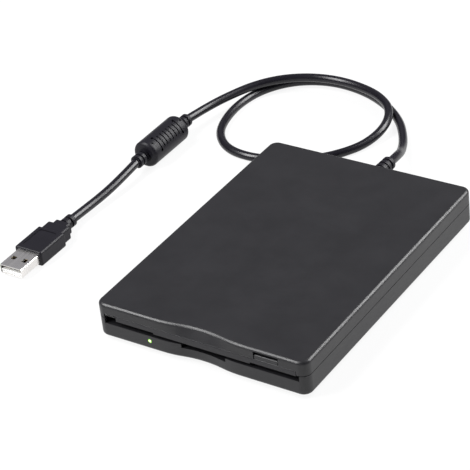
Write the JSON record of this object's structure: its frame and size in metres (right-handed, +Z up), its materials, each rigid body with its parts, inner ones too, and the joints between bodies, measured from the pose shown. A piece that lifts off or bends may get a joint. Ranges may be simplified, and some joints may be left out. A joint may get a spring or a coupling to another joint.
{
  "type": "external floppy disk drive",
  "caption": "Slim external 3.5-inch floppy disk drive with a sprung slot door, an eject button, working loading and head mechanism, and a captive USB cable with ferrite choke and plug.",
  "frame": {"origin": "on the table under the middle of the case, measured without the cable and what is on it", "axes": "+X to the right seen from the front, the slot faces -Y, +Z up"},
  "size_m": [0.1715, 0.2246, 0.018],
  "materials": {
    "case_black": "moulded, fine-grained, matte",
    "door_black": "moulded, satin",
    "screw_steel": "zinc plated",
    "foot_rubber": "matte",
    "spring_steel": "drawn wire",
    "zinc_sheet": "zinc-plated sheet",
    "lamp_lens": "translucent, clear moulded",
    "lamp_body": "translucent epoxy",
    "cast_frame": "die cast, satin",
    "rod_steel": "ground",
    "board_green": "solder mask over glass laminate",
    "bearing_brass": "sintered",
    "core_steel": "laminated",
    "coil_copper": "enamelled wire",
    "magnet_dark": "pressed, dark grey",
    "drive_plastic": "moulded acetal",
    "head_ceramic": "lapped ceramic",
    "chip_black": "moulded epoxy",
    "connector_cream": "moulded",
    "ribbon_white": "flexible film",
    "crystal_steel": "drawn can",
    "lead_insulation": "extruded",
    "cord_pvc": "extruded PVC, semi-gloss",
    "plug_pvc": "moulded PVC, satin",
    "shell_nickel": "nickel plated",
    "insulator_white": "moulded",
    "contact_gold": "gold flashed"
  },
  "bodies": {
    "housing": {"bottom_cover": "case_black", "top_cover": "case_black", "case_screws": "screw_steel", "frame_screws": "screw_steel", "rubber_feet": "foot_rubber", "door_spring": "spring_steel", "slide_springs": "spring_steel", "led_lens": "lamp_lens", "led_lamp": "lamp_body", "chassis_frame": "cast_frame", "top_shield": "zinc_sheet", "guide_rods": "rod_steel", "motor_board": "board_green", "spindle_bearing": "bearing_brass", "stator_core": "core_steel", "stator_coils": "coil_copper", "stepper_motor": "zinc_sheet", "screw_bracket": "zinc_sheet", "controller_board": "board_green", "controller_chips": "chip_black", "ribbon_connectors": "connector_cream", "flat_ribbon": "ribbon_white", "usb_board": "board_green", "usb_chips": "chip_black", "crystal": "crystal_steel", "wire_connector": "connector_cream", "cable_leads": "lead_insulation", "cable_inner_end": "cord_pvc", "switch_boards": "board_green", "switch_bodies": "chip_black", "strain_relief": "plug_pvc", "cord_rear": "cord_pvc", "ferrite_casing": "plug_pvc", "ferrite_core": "magnet_dark", "cord_in_ferrite": "cord_pvc", "cord_front": "cord_pvc", "plug_overmold": "plug_pvc", "plug_shell": "shell_nickel", "plug_insulator": "insulator_white", "plug_contacts": "contact_gold"},
    "slide": {"slide_plate": "zinc_sheet", "eject_button": "case_black"},
    "holder": {"cartridge_holder": "zinc_sheet", "lever_spring": "spring_steel"},
    "lever": {"shutter_lever": "drive_plastic"},
    "door": {"slot_door": "door_black"},
    "carriage": {"head_carriage": "cast_frame", "arm_pin": "rod_steel", "lower_head": "head_ceramic"},
    "arm": {"upper_arm": "drive_plastic", "upper_head": "head_ceramic", "arm_spring": "spring_steel"},
    "screw": {"lead_screw": "rod_steel"},
    "spindle": {"spindle_rotor": "zinc_sheet", "ring_magnet": "magnet_dark", "spindle_hub": "rod_steel"},
    "pin": {"drive_pin": "drive_plastic"},
    "protect": {"protect_plunger": "drive_plastic"},
    "density": {"density_plunger": "drive_plastic"}
  },
  "joints": [
    {"name": "eject_slide", "type": "slide", "parent": "housing", "child": "slide", "axis": [0, -1, 0], "range_m": [0, 0.0045], "deforming": ["slide_springs"]},
    {"name": "holder_drop", "type": "slide", "parent": "housing", "child": "holder", "axis": [0, 0, -1], "range_m": [0, 0.002]},
    {"name": "shutter_swing", "type": "hinge", "parent": "holder", "child": "lever", "pos_m": [-0.034, 0.014, 0.013], "axis": [0, 0, 1], "range_deg": [0, 65], "stiffness_Nm_per_rad": 0.0004, "deforming": ["lever_spring"]},
    {"name": "door_swing", "type": "hinge", "parent": "housing", "child": "door", "pos_m": [0, -0.07005, 0.01278], "axis": [1, 0, 0], "range_deg": [0, 80], "stiffness_Nm_per_rad": 0.0003, "deforming": ["door_spring"]},
    {"name": "carriage_step", "type": "slide", "parent": "housing", "child": "carriage", "axis": [0, -1, 0], "range_m": [0, 0.0148]},
    {"name": "screw_turn", "type": "hinge", "parent": "housing", "child": "screw", "pos_m": [0.016, 0.04, 0.009], "axis": [0, 1, 0], "range_deg": [0, 1777]},
    {"name": "head_load", "type": "hinge", "parent": "carriage", "child": "arm", "pos_m": [0, 0.0455, 0.0135], "axis": [1, 0, 0], "range_deg": [0, 9.21]},
    {"name": "spindle_turn", "type": "hinge", "parent": "housing", "child": "spindle", "pos_m": [0, -0.018, 0.0066], "axis": [0, 0, 1], "continuous": true},
    {"name": "drive_pin_dip", "type": "slide", "parent": "spindle", "child": "pin", "axis": [0, 0, -1], "range_m": [0, 0.0003], "stiffness_N_per_m": 100},
    {"name": "protect_press", "type": "slide", "parent": "housing", "child": "protect", "axis": [0, 0, -1], "range_m": [0, 0.0007], "stiffness_N_per_m": 200},
    {"name": "density_press", "type": "slide", "parent": "housing", "child": "density", "axis": [0, 0, -1], "range_m": [0, 0.0007], "stiffness_N_per_m": 200}
  ],
  "couplings": [
    {"joint": "holder_drop", "follows": "eject_slide", "ratio": 0.4444},
    {"joint": "head_load", "follows": "eject_slide", "rad_per_m": 35.68},
    {"joint": "screw_turn", "follows": "carriage_step", "rad_per_m": 2094.4}
  ]
}
